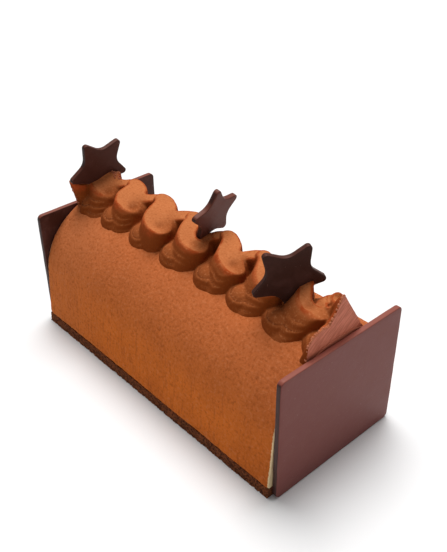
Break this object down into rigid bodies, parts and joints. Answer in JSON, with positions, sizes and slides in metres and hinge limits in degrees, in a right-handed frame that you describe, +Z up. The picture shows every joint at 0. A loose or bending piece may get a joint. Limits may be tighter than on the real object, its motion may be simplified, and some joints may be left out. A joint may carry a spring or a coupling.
{
  "type": "yule log cake",
  "caption": "Arched yule log cake of chocolate mousse on a thin sponge, closed by a chocolate plate at each end, with a ribbon of cream piped along its top and chocolate stars standing in it.",
  "frame": {"origin": "bottom centre of the cake, on the surface it stands on", "axes": "+X along the log to the front end plate, +Y across the log, +Z up"},
  "size_m": [0.1984, 0.09, 0.1118],
  "materials": {
    "velvet_coat": "matt cocoa velvet sprayed on frozen mousse",
    "piped_cream": "matt whipped chocolate cream with a light cocoa spray",
    "cocoa_sponge": "crumbly, unglazed",
    "dark_chocolate": "satin, with faint bloom"
  },
  "bodies": {
    "root": {"mousse_log": "velvet_coat", "sponge_base": "cocoa_sponge", "end_plate_front": "dark_chocolate", "end_plate_back": "dark_chocolate", "piped_ribbon": "piped_cream", "star_back": "dark_chocolate", "star_middle": "dark_chocolate", "star_front": "dark_chocolate"}
  },
  "joints": []
}
